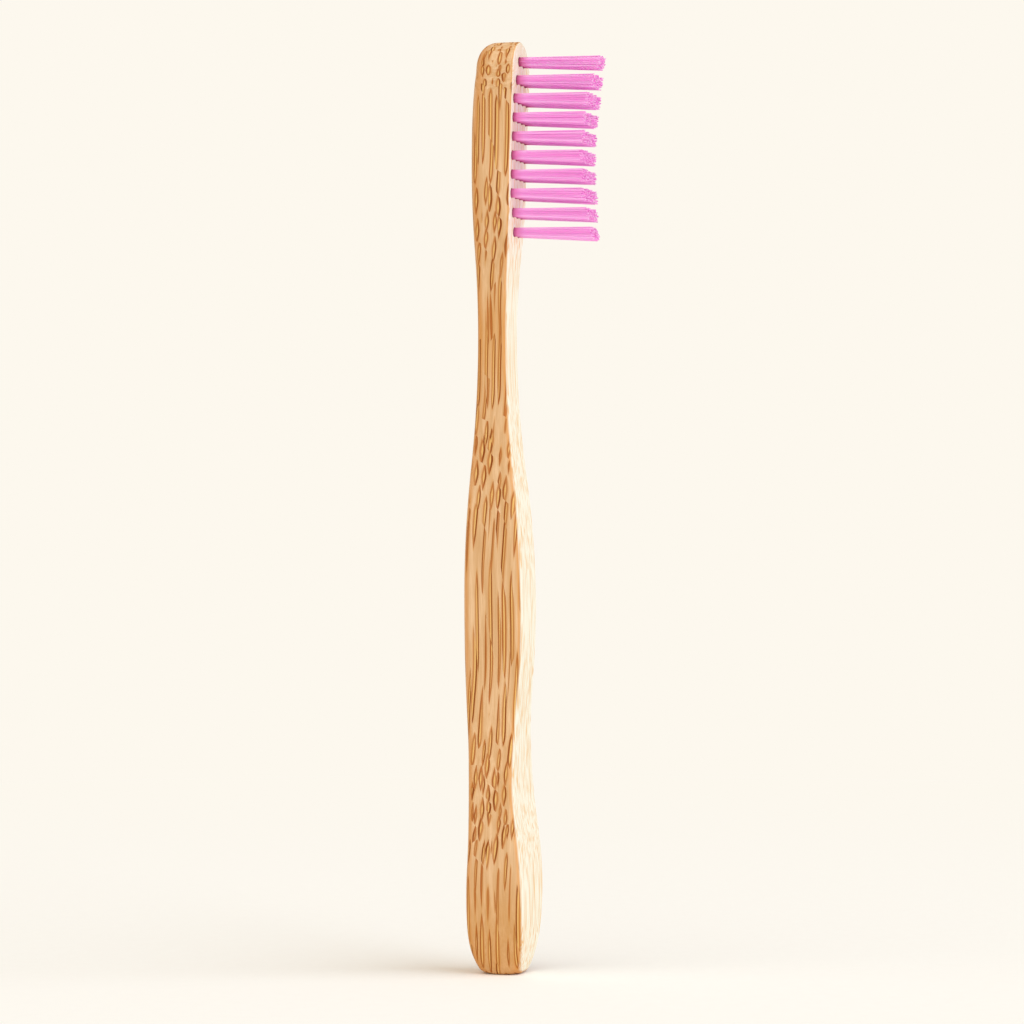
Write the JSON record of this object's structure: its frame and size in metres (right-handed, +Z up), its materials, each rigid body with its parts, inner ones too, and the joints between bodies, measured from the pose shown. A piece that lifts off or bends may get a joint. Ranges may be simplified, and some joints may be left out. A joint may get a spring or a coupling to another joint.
{
  "type": "manual toothbrush",
  "caption": "Child-size bamboo toothbrush with a waisted grip, a slim neck and a block head of pink nylon tufts, each folded over a metal anchor in its own drilled hole.",
  "frame": {"origin": "middle of the flat foot that the handle stands on", "axes": "+Z up the handle to the head, +X the way the bristles point, +Y across the width of the handle"},
  "size_m": [0.0218, 0.0136, 0.148],
  "materials": {
    "bamboo": "bare sanded bamboo, fibres along the handle",
    "nylon": "pink drawn filaments, slightly see-through",
    "anchor_metal": "bare flat wire"
  },
  "bodies": {
    "root": {"anchors_row01": "anchor_metal", "anchors_row02": "anchor_metal", "anchors_row03": "anchor_metal", "anchors_row04": "anchor_metal", "anchors_row05": "anchor_metal", "anchors_row06": "anchor_metal", "anchors_row07": "anchor_metal", "anchors_row08": "anchor_metal", "anchors_row09": "anchor_metal", "anchors_row10": "anchor_metal", "bristle_tuft_row01_col1": "nylon", "bristle_tuft_row01_col2": "nylon", "bristle_tuft_row02_col1": "nylon", "bristle_tuft_row02_col2": "nylon", "bristle_tuft_row02_col3": "nylon", "bristle_tuft_row03_col1": "nylon", "bristle_tuft_row03_col2": "nylon", "bristle_tuft_row03_col3": "nylon", "bristle_tuft_row03_col4": "nylon", "bristle_tuft_row04_col1": "nylon", "bristle_tuft_row04_col2": "nylon", "bristle_tuft_row04_col3": "nylon", "bristle_tuft_row04_col4": "nylon", "bristle_tuft_row05_col1": "nylon", "bristle_tuft_row05_col2": "nylon", "bristle_tuft_row05_col3": "nylon", "bristle_tuft_row05_col4": "nylon", "bristle_tuft_row06_col1": "nylon", "bristle_tuft_row06_col2": "nylon", "bristle_tuft_row06_col3": "nylon", "bristle_tuft_row06_col4": "nylon", "bristle_tuft_row07_col1": "nylon", "bristle_tuft_row07_col2": "nylon", "bristle_tuft_row07_col3": "nylon", "bristle_tuft_row07_col4": "nylon", "bristle_tuft_row08_col1": "nylon", "bristle_tuft_row08_col2": "nylon", "bristle_tuft_row08_col3": "nylon", "bristle_tuft_row08_col4": "nylon", "bristle_tuft_row09_col1": "nylon", "bristle_tuft_row09_col2": "nylon", "bristle_tuft_row09_col3": "nylon", "bristle_tuft_row10_col1": "nylon", "bristle_tuft_row10_col2": "nylon", "handle": "bamboo"}
  },
  "joints": []
}
